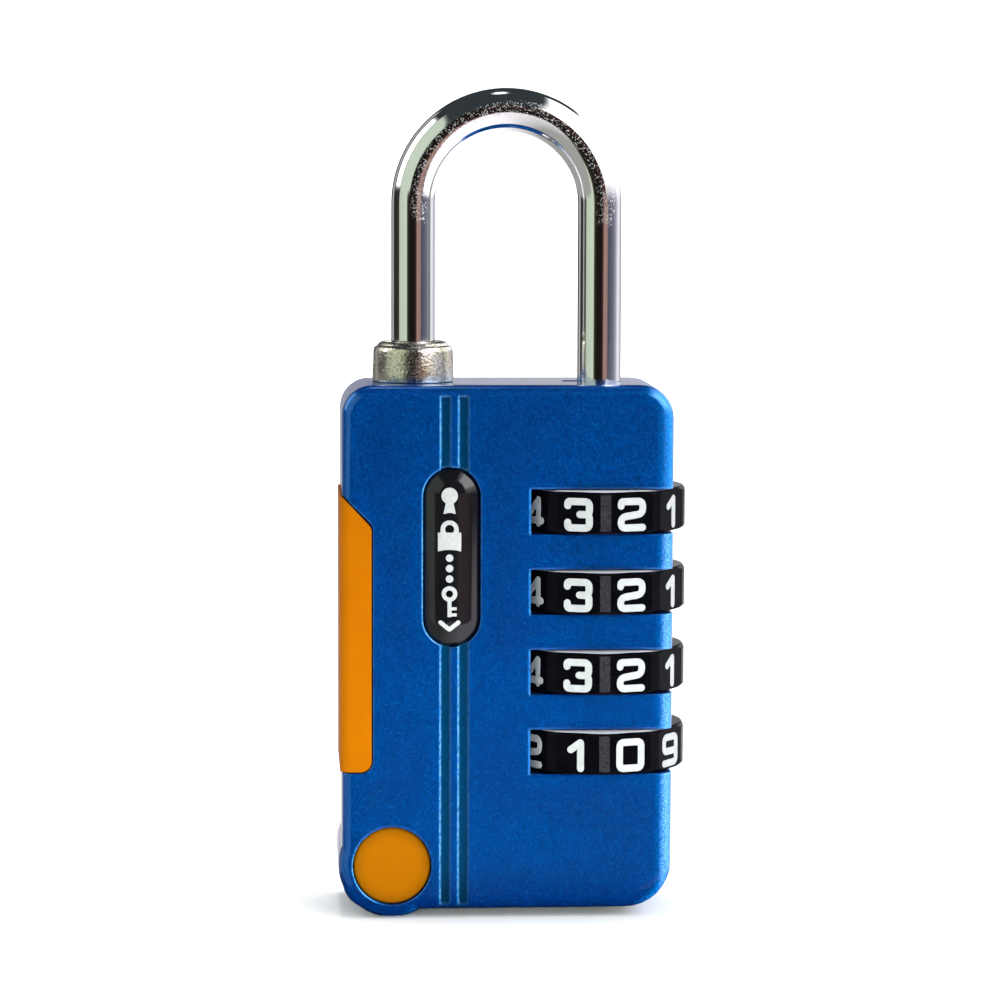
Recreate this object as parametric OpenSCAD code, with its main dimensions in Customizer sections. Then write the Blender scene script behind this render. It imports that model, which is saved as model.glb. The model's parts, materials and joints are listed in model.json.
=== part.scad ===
// Combination padlock with four ten-sided dials, a fixed-width steel shackle and a one-piece die-cast case.
// Frame: X to the right, Y to the back, Z up, millimetres. The origin is the bottom centre of the whole lock.
// Sizes below are measured from the middle of the case in X and from its flat bottom in Z.

/* [Case] */
// width of the case across its front
body_w = 30; // [26:0.5:40]
// thickness of the case, front to back
body_t = 13; // [11:0.5:18]
// height of the case from its flat bottom to its top face
body_h = 47.8; // [44:0.1:60]
// radius of the top left corner
corner_tl = 2.7; // [1:0.1:5]
// radius of the top right corner
corner_tr = 3.0; // [1:0.1:5]
// radius of the bottom right corner
corner_br = 4.2; // [1:0.1:6]
// rounding of the edges around the front and the back
edge_r = 1.0; // [0.4:0.1:2]
// centre of the round lobe left of the middle
lobe_x = -10.5; // [-12:0.1:-8]
// centre of the round lobe above the flat bottom
lobe_z = 4.1; // [3:0.1:6]
// radius of the round lobe
lobe_r = 4.85; // [4:0.05:6]

/* [Front trim] */
// centre of the left groove
groove_left_x = -5.69; // [-8:0.01:-4]
// centre of the right groove
groove_right_x = -4.05; // [-6:0.01:-2]
// width of each groove
groove_w = 0.88; // [0.4:0.02:1.5]
// depth of each groove
groove_d = 0.55; // [0.2:0.05:1]
// centre of the badge left of the middle
badge_x = -5.12; // [-8:0.01:-2]
// centre of the badge above the flat bottom
badge_z = 32.28; // [26:0.01:38]
// width of the badge
badge_w = 4.92; // [3:0.02:6]
// height of the badge
badge_h = 15.96; // [10:0.02:20]
// height of the badge's dome above the front face
badge_proud = 0.35; // [0:0.05:0.8]
// gap between the badge and the wall of its pocket
badge_gap = 0.16; // [0.05:0.01:0.3]
// depth of the badge pocket
badge_pocket_d = 1.0; // [0.6:0.1:1.5]
// thickness of the adhesive pad behind the badge
pad_t = 0.15; // [0.05:0.05:0.4]
// inner edge of the side strip on the front face
strip_in_x = -12.35; // [-13.5:0.05:-11]
// bottom of the side strip
strip_low_z = 12.75; // [10:0.05:16]
// top of the side strip at its inner edge
strip_top_in_z = 35.0; // [30:0.1:40]
// top of the side strip at the side of the case
strip_top_out_z = 37.8; // [32:0.1:42]
// rounding of the strip's inner corners
strip_corner_r = 1.0; // [0.4:0.1:1.5]
// how far the strip stands out of the side of the case
strip_proud = 0.2; // [0:0.05:0.5]
// gap between the strip and its pocket
strip_gap = 0.12; // [0.05:0.01:0.3]
// radius of the round corner cap
cap_r = 3.5; // [2.5:0.05:4]
// how far the cap lies below the front face
cap_sunk = 0.3; // [0:0.05:0.8]
// thickness of the cap's disc
cap_t = 1.1; // [0.6:0.1:2]

/* [Dials] */
// axis of the dials and of the long shackle leg, right of the middle
dial_x = 8.65; // [7:0.05:10]
// middle of the top dial above the flat bottom
dial_top_z = 36.4; // [34:0.1:40]
// distance between neighbouring dials, which is also the lift of the shackle
dial_pitch = 7.3; // [6.5:0.1:8]
// height of one dial
dial_h = 3.9; // [3:0.1:5]
// play between a dial and its window, above and below
dial_play = 0.1; // [0.05:0.01:0.2]
// distance from the axis to each digit face
dial_face_r = 7.8; // [7:0.05:9]
// distance from the axis to each corner strip
dial_corner_r = 8.05; // [7.2:0.05:9.2]
// radius where the rounded top and bottom rims of a dial start
dial_rim_r = 7.6; // [7:0.05:8.5]
// radius of the round slot that each dial turns in
slot_r = 9.28; // [8.5:0.01:10]

/* [Shackle] */
// thickness of the shackle bar
bar_d = 4.0; // [3:0.5:6]
// axis of the short leg, left of the middle
toe_x = -8.4; // [-10:0.05:-7]
// top of the shackle above the flat bottom
shackle_top_z = 74.5; // [66:0.1:90]
// end of the short leg above the flat bottom
toe_end_z = 44.4; // [42:0.1:46]
// end of the long leg above the flat bottom
heel_end_z = 6.2; // [4:0.1:8]
// radius that the fins on the long leg reach
fin_r = 3.3; // [2.8:0.05:3.5]
// thickness of the fins
fin_w = 1.4; // [1:0.1:2]
// outer radius of the collar around the short leg
collar_r = 3.7; // [3:0.05:4.5]
// height of the collar above the case
collar_h = 3.7; // [2:0.1:5]

/* [Lock works] */
// radius of the bore that holds the long leg with its fins
bore_r = 3.7; // [3.4:0.05:4.2]
// top end of that bore
bore_top_z = 44.2; // [43.9:0.1:45]
// running gap around the long leg in each dial sleeve
leg_gap = 0.05; // [0.02:0.01:0.1]
// distance from the axis to the corners of the ten-sided sleeve
cam_r = 5.15; // [4.6:0.05:6]
// inner radius of the free space under each sleeve's gate
cam_recess_r = 3.6; // [3.45:0.05:4]
// thickness of the gate disc in each sleeve
gate_t = 1.5; // [1:0.1:2]
// radius of the detent balls
ball_r = 0.8; // [0.5:0.05:1]
// radius of the holes for the detent balls
ball_hole_r = 0.85; // [0.55:0.05:1.05]
// thickness of the plug in the bottom of the bore
plug_t = 1.45; // [1:0.05:2]
// how far the plug lies above the flat bottom
plug_sunk = 0.45; // [0.35:0.05:1]
// outer radius of the shackle spring
spring_r = 3.2; // [2.9:0.05:3.5]
// thickness of the shackle spring's wire
spring_wire = 0.5; // [0.3:0.05:0.7]

/* [Hidden] */
$fn = 64;
eps = 0.02;
bar_r = bar_d / 2;
half_w = body_w / 2;
half_t = body_t / 2;
dials = [0, 1, 2, 3];
frame_x = -(dial_x + dial_face_r + lobe_x - lobe_r) / 2;
frame_z = lobe_r - lobe_z;
arch_r = (dial_x - toe_x) / 2;
arch_x = (dial_x + toe_x) / 2;
arch_z = shackle_top_z - bar_r - arch_r;
slot_h = dial_h + 2 * dial_play;
gate_low = dial_h / 2 - gate_t;
fin_low = -1.7;
fin_h = 1.9;
key_w = fin_w + 0.2;
key_r = fin_r + 0.12;
clip_z = heel_end_z + 0.65;
clip_t = 0.6;
clip_gap = 0.05;
clip_inner_r = 1.55;
clip_neck_r = 1.5;
seat_t = 0.35;
seat_z = clip_z - 0.1 - seat_t;
plug_top_z = plug_sunk + plug_t;
tongue_x = -14.2;
tongue_y = 5.3;
peg_r = 0.82;
peg_end_x = -9.2;
detent_drop = 0.5;
ball_clear = 0.3;
ball_x = dial_x - dial_corner_r - ball_clear - ball_r;
spigot_r = 2.9;
spigot_h = 2.0;
toe_hole_r = bar_r + 0.1;
case_color = [0.02, 0.27, 0.58];
orange = [0.84, 0.50, 0.02];
black = [0.08, 0.08, 0.09];
steel = [0.78, 0.78, 0.80];
brass = [0.72, 0.58, 0.30];
zinc = [0.66, 0.65, 0.60];

function dial_z(i) = dial_top_z - i * dial_pitch;
function detent_z(i) = dial_z(i) - detent_drop;

// moves a piece from the case's own measures to the frame of the whole lock
module placed() {
    translate([frame_x, 0, frame_z])
        children();
}

// cylinder along Y, centred on the middle plane
module ycyl(x, z, r, t) {
    translate([x, t / 2, z])
        rotate([90, 0, 0])
            cylinder(r = r, h = t);
}

// cylinder along Z from one height to another
module zcyl(x, z0, z1, r) {
    translate([x, 0, z0])
        cylinder(r = r, h = z1 - z0);
}

// one level of the case outline, drawn in from its largest outline
module outline_level(inset, t, left) {
    $fn = 32;
    ycyl(left + corner_tl, body_h - corner_tl, corner_tl - inset, t);
    ycyl(half_w - corner_tr, body_h - corner_tr, corner_tr - inset, t);
    ycyl(half_w - corner_br, corner_br, corner_br - inset, t);
    ycyl(left + corner_tl, corner_tl, corner_tl - inset, t);
}

// slab with rounded corners and rounded front and back edges
module soft_slab(left) {
    hull() {
        outline_level(0, body_t - 2 * edge_r, left);
        outline_level(edge_r * 0.08, body_t - 1.2 * edge_r, left);
        outline_level(edge_r * 0.3, body_t - 0.6 * edge_r, left);
        outline_level(edge_r * 0.6, body_t - 0.16 * edge_r, left);
        outline_level(edge_r, body_t, left);
    }
}

// round lobe at the bottom left corner, with the same rounded edges
module lobe() {
    translate([lobe_x, 0, lobe_z])
        rotate([90, 0, 0])
            rotate_extrude()
                polygon([
                    [0, -half_t],
                    [lobe_r - edge_r, -half_t],
                    [lobe_r - 0.3 * edge_r, -half_t + 0.3 * edge_r],
                    [lobe_r, -half_t + edge_r],
                    [lobe_r, half_t - edge_r],
                    [lobe_r - 0.3 * edge_r, half_t - 0.3 * edge_r],
                    [lobe_r - edge_r, half_t],
                    [0, half_t]
                ]);
}

// upright stadium along Z whose flat faces look along Y, from depth y0 to depth y1
module stadium(x, z, w, h, y0, y1) {
    r = w / 2;
    translate([x, y1, z])
        rotate([90, 0, 0])
            linear_extrude(y1 - y0)
                union() {
                    square([w, h - w], center = true);
                    translate([0, (h - w) / 2])
                        circle(r = r);
                    translate([0, (w - h) / 2])
                        circle(r = r);
                }
}

// outline of the side strip, grown by g on its inner, upper and lower edges
module strip_outline(g) {
    slant = atan2(strip_top_out_z - strip_top_in_z, -half_w - strip_in_x);
    half_angle = (270 - slant) / 2;
    cut = strip_corner_r / tan(half_angle);
    x1 = strip_in_x + g;
    x2 = strip_in_x - strip_corner_r;
    z2 = strip_low_z + strip_corner_r;
    z3 = strip_top_in_z + g - cut;
    r = strip_corner_r + g;
    translate([0, half_t + 2, 0])
        rotate([90, 0, 0])
            linear_extrude(body_t + 4)
                union() {
                    polygon([
                        [-half_w - 2, strip_low_z - g],
                        [x2, strip_low_z - g],
                        [x2, z2],
                        [x1, z2],
                        [x1, z3],
                        [x2, z3],
                        [x2 + r * cos(slant - 90), z3 + r * sin(slant - 90)],
                        [-half_w, strip_top_out_z + g],
                        [-half_w - 2, strip_top_out_z + g]
                    ]);
                    translate([x2, z2])
                        circle(r = r);
                    translate([x2, z3])
                        circle(r = r);
                }
}

// tongue of the case that the side strip is pushed over
module tongue(g) {
    translate([tongue_x - g, -tongue_y - g, 0])
        cube([20, 2 * (tongue_y + g), body_h]);
}

module fin(i) {
    intersection() {
        zcyl(0, fin_low, fin_low + fin_h, fin_r);
        translate([-5, -fin_w / 2, fin_low])
            cube([4, fin_w, fin_h]);
    }
}

// wire coil that stands on z = 0 and winds about Z
module coil(mean_r, wire_r, turns, height, per_turn, sides) {
    steps = turns * per_turn;
    pts = [
        for (i = [0 : steps])
            let (a = 360 * i / per_turn, zc = wire_r + (height - 2 * wire_r) * i / steps)
                for (j = [0 : sides - 1])
                    let (b = 360 * j / sides, r = mean_r + wire_r * cos(b))
                        [r * cos(a), r * sin(a), zc + wire_r * sin(b)]
    ];
    wall = [
        for (i = [0 : steps - 1])
            for (j = [0 : sides - 1])
                let (k = (j + 1) % sides, p = i * sides, q = p + sides)
                    [p + j, q + j, q + k]
    ];
    wall_b = [
        for (i = [0 : steps - 1])
            for (j = [0 : sides - 1])
                let (k = (j + 1) % sides, p = i * sides, q = p + sides)
                    [p + j, q + k, p + k]
    ];
    first = [for (j = [0 : sides - 1]) j];
    last = [for (j = [sides - 1 : -1 : 0]) steps * sides + j];
    polyhedron(points = pts, faces = concat(wall, wall_b, [first], [last]));
}

module case() {
    color(case_color)
        placed()
            difference() {
                union() {
                    soft_slab(-half_w);
                    lobe();
                }
                // grooves down the front
                for (x = [groove_left_x, groove_right_x])
                    translate([x - groove_w / 2, -half_t - 1, 0.55])
                        cube([groove_w, 1 + groove_d, body_h - 1.5]);
                // pocket of the badge
                stadium(badge_x, badge_z, badge_w + 2 * badge_gap, badge_h + 2 * badge_gap,
                    -half_t - 1, -half_t + badge_pocket_d);
                // pocket of the side strip, around its tongue
                difference() {
                    strip_outline(strip_gap);
                    tongue(0);
                }
                // recess and stem hole of the corner cap
                translate([lobe_x, -half_t + cap_sunk + cap_t, lobe_z])
                    rotate([90, 0, 0])
                        cylinder(r = cap_r + 0.08, h = 3);
                translate([lobe_x, 1.2, lobe_z])
                    rotate([90, 0, 0])
                        cylinder(r = 1.24, h = 7);
                // slots of the dials, open to the front, the right and the back
                for (i = dials) {
                    zcyl(dial_x, dial_z(i) - slot_h / 2, dial_z(i) + slot_h / 2, slot_r);
                    translate([dial_x, -half_t - 1, dial_z(i) - slot_h / 2])
                        cube([10, body_t + 2, slot_h]);
                }
                // bore of the long leg, with the plug's seat at the bottom
                zcyl(dial_x, -1, bore_top_z, bore_r);
                // keyed hole of the long leg through the top
                zcyl(dial_x, bore_top_z - 1, body_h + 1, bar_r + 0.08);
                intersection() {
                    zcyl(dial_x, bore_top_z - 1, body_h + 1, key_r);
                    translate([dial_x - 5, -key_w / 2, bore_top_z - 1])
                        cube([5, key_w, 6]);
                }
                // socket of the short leg and the collar's seat
                zcyl(toe_x, toe_end_z - 0.3, body_h + 1, toe_hole_r);
                zcyl(toe_x, body_h - spigot_h - 0.1, body_h + 1, spigot_r);
                // holes of the detents, drilled from the left side
                for (i = dials)
                    translate([tongue_x - 1, 0, detent_z(i)])
                        rotate([0, 90, 0])
                            cylinder(r = ball_hole_r, h = 16);
            }
}

module shackle() {
    color(steel)
        placed()
            difference() {
                union() {
                    translate([arch_x, 0, arch_z])
                        rotate([90, 0, 0])
                            rotate_extrude(angle = 180)
                                translate([arch_r, 0])
                                    circle(r = bar_r);
                    translate([toe_x, 0, toe_end_z])
                        rotate_extrude()
                            polygon([
                                [0, 0],
                                [bar_r - 0.4, 0],
                                [bar_r, 0.4],
                                [bar_r, arch_z - toe_end_z],
                                [0, arch_z - toe_end_z]
                            ]);
                    zcyl(dial_x, heel_end_z, arch_z, bar_r);
                    for (i = dials)
                        translate([dial_x, 0, dial_z(i)])
                            fin(i);
                }
                // neck for the retaining clip
                difference() {
                    zcyl(dial_x, clip_z - clip_gap, clip_z + clip_t + clip_gap, bar_r + 1);
                    zcyl(dial_x, clip_z - 1, clip_z + clip_t + 1, clip_neck_r);
                }
            }
}

module toe_collar() {
    color(zinc)
        placed()
            translate([toe_x, 0, body_h])
                rotate_extrude()
                    polygon([
                        [toe_hole_r, -spigot_h],
                        [spigot_r - 0.03, -spigot_h],
                        [spigot_r - 0.03, 0],
                        [collar_r, 0],
                        [collar_r, 0.5],
                        [collar_r - 0.1, collar_h - 0.7],
                        [collar_r - 0.16, collar_h - 0.35],
                        [collar_r - 0.35, collar_h - 0.12],
                        [collar_r - 0.65, collar_h],
                        [toe_hole_r + 0.35, collar_h],
                        [toe_hole_r, collar_h - 0.35]
                    ]);
}

// one dial ring about the Z axis, its middle plane at z = 0
module dial_ring() {
    difference() {
        intersection() {
            // ten digit faces, one of them facing right
            rotate([0, 0, 18])
                translate([0, 0, -dial_h / 2])
                    cylinder(r = dial_face_r / cos(18), h = dial_h, $fn = 10);
            // ten corner strips
            translate([0, 0, -dial_h / 2])
                cylinder(r = dial_corner_r / cos(18), h = dial_h, $fn = 10);
            // rounded rims
            rotate_extrude()
                polygon([
                    [0, -dial_h / 2],
                    [dial_rim_r, -dial_h / 2],
                    [dial_rim_r + 0.25, -dial_h / 2 + 0.07],
                    [dial_rim_r + 0.43, -dial_h / 2 + 0.25],
                    [dial_rim_r + 0.52, -dial_h / 2 + 0.55],
                    [dial_rim_r + 0.52, dial_h / 2 - 0.55],
                    [dial_rim_r + 0.43, dial_h / 2 - 0.25],
                    [dial_rim_r + 0.25, dial_h / 2 - 0.07],
                    [dial_rim_r, dial_h / 2],
                    [0, dial_h / 2]
                ]);
        }
        // ten-sided hole for the sleeve
        translate([0, 0, -dial_h])
            cylinder(r = cam_r + 0.05, h = 2 * dial_h, $fn = 10);
    }
}

// one sleeve about the Z axis: a gate disc above a free ring-shaped space
module cam_ring() {
    difference() {
        translate([0, 0, -dial_h / 2])
            cylinder(r = cam_r, h = dial_h, $fn = 10);
        zcyl(0, -dial_h, gate_low, cam_recess_r);
        zcyl(0, -dial_h, dial_h, bar_r + leg_gap);
        intersection() {
            zcyl(0, -dial_h, dial_h, key_r);
            translate([-5, -key_w / 2, -dial_h])
                cube([5, key_w, 2 * dial_h]);
        }
    }
}

module dial_at(i) {
    color(black)
        placed()
            translate([dial_x, 0, dial_z(i)])
                dial_ring();
}

module cam_at(i) {
    color(brass)
        placed()
            translate([dial_x, 0, dial_z(i)])
                cam_ring();
}

module dial_1() {
    dial_at(0);
}

module dial_2() {
    dial_at(1);
}

module dial_3() {
    dial_at(2);
}

module dial_4() {
    dial_at(3);
}

module cam_1() {
    cam_at(0);
}

module cam_2() {
    cam_at(1);
}

module cam_3() {
    cam_at(2);
}

module cam_4() {
    cam_at(3);
}

module detent_balls() {
    color(steel)
        placed()
            for (i = dials)
                translate([ball_x, 0, detent_z(i)])
                    sphere(r = ball_r);
}

module detent_springs() {
    color(steel)
        placed()
            for (i = dials)
                translate([peg_end_x + 0.02, 0, detent_z(i)])
                    rotate([0, 90, 0])
                        coil(0.58, 0.16, 7, ball_x - ball_r - peg_end_x - 0.04, 10, 6);
}

module retaining_clip() {
    color(steel)
        placed()
            translate([dial_x, 0, clip_z])
                difference() {
                    cylinder(r = fin_r - 0.05, h = clip_t);
                    translate([0, 0, -1])
                        cylinder(r = clip_inner_r, h = clip_t + 2);
                    translate([0, -1.3, -1])
                        cube([5, 2.6, clip_t + 2]);
                }
}

module spring_seat() {
    color(steel)
        placed()
            translate([dial_x, 0, seat_z])
                difference() {
                    cylinder(r = fin_r + 0.1, h = seat_t);
                    translate([0, 0, -1])
                        cylinder(r = bar_r + 0.05, h = seat_t + 2);
                }
}

module shackle_spring() {
    color(steel)
        placed()
            translate([dial_x, 0, plug_top_z])
                coil(spring_r - spring_wire / 2, spring_wire / 2, 5, seat_z - plug_top_z, 20, 8);
}

module bottom_plug() {
    color(zinc)
        placed()
            translate([dial_x, 0, plug_sunk])
                difference() {
                    cylinder(r = bore_r - 0.01, h = plug_t);
                    translate([0, 0, -1])
                        cylinder(r = 1.4, h = 1.5);
                }
}

module side_strip() {
    color(orange)
        placed()
            union() {
                difference() {
                    intersection() {
                        soft_slab(-half_w - strip_proud);
                        strip_outline(0);
                    }
                    tongue(0.05);
                }
                // pegs that close the detent holes
                for (i = dials)
                    translate([tongue_x - 0.5, 0, detent_z(i)])
                        rotate([0, 90, 0])
                            cylinder(r = peg_r, h = peg_end_x - tongue_x + 0.5);
            }
}

module corner_cap() {
    color(orange)
        placed()
            translate([lobe_x, 0, lobe_z])
                rotate([90, 0, 0])
                    union() {
                        translate([0, 0, half_t - cap_sunk - cap_t])
                            cylinder(r = cap_r, h = cap_t);
                        translate([0, 0, -1])
                            cylinder(r = 1.2, h = half_t - cap_sunk);
                    }
}

module badge() {
    color(black)
        placed()
            hull() {
                stadium(badge_x, badge_z, badge_w, badge_h,
                    -half_t + 0.05, -half_t + badge_pocket_d - pad_t, $fn = 32);
                stadium(badge_x, badge_z, badge_w - 0.5, badge_h - 0.5,
                    -half_t - 0.6 * badge_proud, -half_t, $fn = 32);
                stadium(badge_x, badge_z, badge_w - 2.2, badge_h - 2.2,
                    -half_t - badge_proud, -half_t, $fn = 32);
            }
}

module badge_pad() {
    color(black)
        placed()
            stadium(badge_x, badge_z, badge_w - 0.6, badge_h - 0.6,
                -half_t + badge_pocket_d - pad_t, -half_t + badge_pocket_d);
}

case();
shackle();
toe_collar();
dial_1();
dial_2();
dial_3();
dial_4();
cam_1();
cam_2();
cam_3();
cam_4();
detent_balls();
detent_springs();
retaining_clip();
spring_seat();
shackle_spring();
bottom_plug();
side_strip();
corner_cap();
badge();
badge_pad();
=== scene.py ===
# Looks of the combination padlock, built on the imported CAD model. Blender's units are metres.
import json
import math

import bmesh
import bpy
from mathutils import Matrix, Vector
from mathutils.geometry import delaunay_2d_cdt

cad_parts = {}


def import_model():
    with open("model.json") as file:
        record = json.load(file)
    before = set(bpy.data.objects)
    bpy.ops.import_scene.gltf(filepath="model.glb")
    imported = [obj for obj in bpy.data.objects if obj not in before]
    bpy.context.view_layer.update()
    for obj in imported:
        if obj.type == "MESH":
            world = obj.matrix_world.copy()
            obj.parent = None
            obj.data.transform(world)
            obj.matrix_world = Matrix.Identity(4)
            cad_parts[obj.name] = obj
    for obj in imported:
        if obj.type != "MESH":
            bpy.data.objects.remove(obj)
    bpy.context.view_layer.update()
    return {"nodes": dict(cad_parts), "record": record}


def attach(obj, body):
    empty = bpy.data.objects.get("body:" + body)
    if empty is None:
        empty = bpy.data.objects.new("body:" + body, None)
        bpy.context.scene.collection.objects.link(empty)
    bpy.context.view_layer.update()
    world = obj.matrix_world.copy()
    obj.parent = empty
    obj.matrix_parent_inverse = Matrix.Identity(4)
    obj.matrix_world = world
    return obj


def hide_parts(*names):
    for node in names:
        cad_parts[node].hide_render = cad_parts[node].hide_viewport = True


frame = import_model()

MM = 0.001

# The lock's own measures, in mm: X from the middle of the case, Y from its middle plane and Z from its
# flat bottom. SHIFT takes them to the frame, whose origin is the bottom centre of the whole lock.
SHIFT = Vector((-0.55, 0.0, 0.75))
BODY_H, HALF_T, HALF_W = 47.8, 6.5, 15.0
GROOVES_FROM, GROOVES_TO = -6.16, -3.58
LINE_FADE_Z = 37.0  # the painted highlight line along the right edge fades out round this height
LOBE_X, LOBE_Z = -10.5, 4.1
CAP_R, CAP_SUNK, CAP_T, STEM_R = 3.5, 0.3, 1.1, 1.2
DIAL_X, DIAL_PITCH, DIAL_TOP_Z, DIAL_FACE_R = 8.65, 7.3, 36.4, 7.8
TOE_X, TOE_END_Z, HEEL_END_Z = -8.4, 44.4, 6.2
BAR_R, SHACKLE_TOP_Z = 2.0, 74.5
ARCH_R, ARCH_X = (DIAL_X - TOE_X) / 2, (DIAL_X + TOE_X) / 2
ARCH_Z = SHACKLE_TOP_Z - BAR_R - ARCH_R
FIN_R, FIN_HALF_W, FIN_H, FIN_DROP, FIN_ROOT = 3.3, 0.7, 1.9, 1.7, 1.2
BADGE_X, BADGE_Z, BADGE_W, BADGE_H = -5.12, 32.28, 4.92, 15.96
BADGE_TOP, BADGE_BACK, DOME_R, BADGE_GROW = 0.36, -0.85, 5.0, 0.09
BADGE_HALF = BADGE_W / 2 + BADGE_GROW
PRINT_LOW, PRINT_HIGH = -0.03, 0.012  # digits and signs start under their surface and end just above it
STROKE_R, DIGIT_DROP = 0.325, 0.18

CASE = "lock_case"
SHACKLE = "shackle_unit"
DIALS = (1, 2, 3, 4)


def at(x, y, z):
    """A point in the lock's own measures, in mm, as a point in the frame, in metres."""
    return (Vector((x, y, z)) + SHIFT) * MM


# ---------------------------------------------------------------- node helpers


class Nodes:
    """Adds shader nodes to a node tree, which it empties first."""

    def __init__(self, tree):
        self.tree = tree
        tree.nodes.clear()

    def node(self, kind, **props):
        made = self.tree.nodes.new(kind)
        for key, value in props.items():
            setattr(made, key, value)
        return made

    def link(self, a, b):
        self.tree.links.new(a, b)

    def feed(self, socket, value):
        """Gives a socket a number, a colour or a link."""
        if isinstance(value, (int, float)):
            socket.default_value = value
        elif isinstance(value, tuple):
            socket.default_value = (*value, 1)
        else:
            self.link(value, socket)

    def maths(self, op, a, b=None):
        made = self.node("ShaderNodeMath", operation=op)
        self.feed(made.inputs[0], a)
        if b is not None:
            self.feed(made.inputs[1], b)
        return made.outputs[0]

    def line(self, value, scale, add=0.5):
        """value * scale + add, which brings a measure into the range of a ramp."""
        return self.maths("ADD", self.maths("MULTIPLY", value, scale), add)

    def split(self, vector):
        made = self.node("ShaderNodeSeparateXYZ")
        self.link(vector, made.inputs[0])
        return made.outputs["X"], made.outputs["Y"], made.outputs["Z"]

    def ramp(self, fac, *stops):
        """A colour for each value of fac, from stops of (position, colour)."""
        made = self.node("ShaderNodeValToRGB")
        elements = made.color_ramp.elements
        while len(elements) > 1:
            elements.remove(elements[-1])
        elements[0].position, elements[0].color = stops[0][0], (*stops[0][1], 1)
        for position, color in stops[1:]:
            elements.new(position).color = (*color, 1)
        self.link(fac, made.inputs[0])
        return made.outputs[0]

    def grey(self, fac, *stops):
        return self.ramp(fac, *[(p, (v, v, v)) for p, v in stops])

    def mix(self, fac, a, b, blend="MIX"):
        made = self.node("ShaderNodeMix", data_type="RGBA", blend_type=blend)
        self.feed(made.inputs["Factor"], fac)
        self.feed(made.inputs[6], a)
        self.feed(made.inputs[7], b)
        return made.outputs[2]

    def times(self, first, *others):
        """The product of masks and colours."""
        for other in others:
            first = self.mix(1.0, first, other, "MULTIPLY")
        return first


class Mat(Nodes):
    """One material with a Principled shader. Values that are the same all over are set on its sockets."""

    def __init__(self, name, **values):
        self.mat = bpy.data.materials.new(name)
        self.mat.use_nodes = True
        super().__init__(self.mat.node_tree)
        out = self.node("ShaderNodeOutputMaterial")
        self.bsdf = self.node("ShaderNodeBsdfPrincipled")
        self.link(self.bsdf.outputs[0], out.inputs[0])
        self.coord = self.node("ShaderNodeTexCoord").outputs["Object"]
        for key, value in values.items():
            self.bsdf.inputs[key.replace("_", " ")].default_value = value

    def stretch(self, x, y, z):
        made = self.node("ShaderNodeMapping")
        made.inputs["Scale"].default_value = (x, y, z)
        self.link(self.coord, made.inputs["Vector"])
        return made.outputs[0]

    def noise(self, scale, detail=3.0, rough=0.5, vector=None):
        made = self.node("ShaderNodeTexNoise")
        made.inputs["Scale"].default_value = scale
        made.inputs["Detail"].default_value = detail
        made.inputs["Roughness"].default_value = rough
        self.link(vector or self.coord, made.inputs["Vector"])
        return made.outputs[0]

    def cells(self, scale):
        """Distance to the nearest of many scattered points."""
        made = self.node("ShaderNodeTexVoronoi")
        made.inputs["Scale"].default_value = scale
        self.link(self.coord, made.inputs["Vector"])
        return made.outputs["Distance"]

    def bump(self, height, strength, depth_mm, normal=None):
        made = self.node("ShaderNodeBump")
        made.inputs["Strength"].default_value = strength
        made.inputs["Distance"].default_value = depth_mm * MM
        self.link(height, made.inputs["Height"])
        if normal is not None:
            self.link(normal, made.inputs["Normal"])
        return made.outputs[0]

    def soft_edges(self, radius_mm, samples=4):
        """The normal, rounded over sharp edges."""
        made = self.node("ShaderNodeBevel", samples=samples)
        made.inputs["Radius"].default_value = radius_mm * MM
        return made.outputs[0]

    def around_y(self, x0, z0):
        """Offsets in X and Z from a line along Y, and the distance from it."""
        centre = at(x0, 0, z0)
        x, _, z = self.split(self.coord)
        x = self.maths("SUBTRACT", x, centre.x)
        z = self.maths("SUBTRACT", z, centre.z)
        square = self.maths("ADD", self.maths("MULTIPLY", x, x), self.maths("MULTIPLY", z, z))
        return x, z, self.maths("SQRT", square)

    def color(self, socket):
        self.link(socket, self.bsdf.inputs["Base Color"])

    def rough(self, socket):
        self.link(socket, self.bsdf.inputs["Roughness"])

    def normal(self, socket):
        self.link(socket, self.bsdf.inputs["Normal"])


# ---------------------------------------------------------------- materials


def across(m, x, *stops):
    """A value by place across the case: stops of (mm right of its middle, value)."""
    span = 40.0
    place = m.line(m.maths("SUBTRACT", x, at(0, 0, 0).x), 1000 / span)
    return m.grey(place, *[(0.5 + mm / span, value) for mm, value in stops])


def flakes(m, mottle):
    """Clouded blue with fine glints, under a mask of darker spots."""
    cloud = m.ramp(m.noise(260, 4), (0.3, (0.0, 0.0155, 0.152)), (0.7, (0.0, 0.0180, 0.175)))
    glint = m.grey(m.cells(6500), (0.0, 0.60), (0.22, 0.21), (0.5, 0.0))
    pick = m.grey(m.noise(4600, 2), (0.46, 0.0), (0.60, 1.0))
    return m.times(m.mix(m.times(glint, pick), cloud, (0.0, 0.30, 0.84)), mottle)


def groove_painted_shade(m, place, facing, tone, mottle):
    """Painted shade: a darker, greener blue on the floor of the two grooves, which lies below the front."""
    soft = 0.04
    groove = across(m, place[0], (GROOVES_FROM - soft, 0.0), (GROOVES_FROM + soft, 1.0),
                    (GROOVES_TO - soft, 1.0), (GROOVES_TO + soft, 0.0))
    below_front = m.maths("MULTIPLY", m.maths("ADD", place[1], HALF_T * MM), 1000.0)
    sunk = m.grey(below_front, (0.15, 0.0), (0.40, 1.0))
    front = m.grey(m.maths("MULTIPLY", facing[1], -1.0), (0.3, 0.0), (0.7, 1.0))
    # painted shade: the grooves' floor mixed to a darker, greener blue
    return m.mix(m.times(groove, sunk, front), tone, m.times(mottle, (0.0, 0.030, 0.075)))


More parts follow.
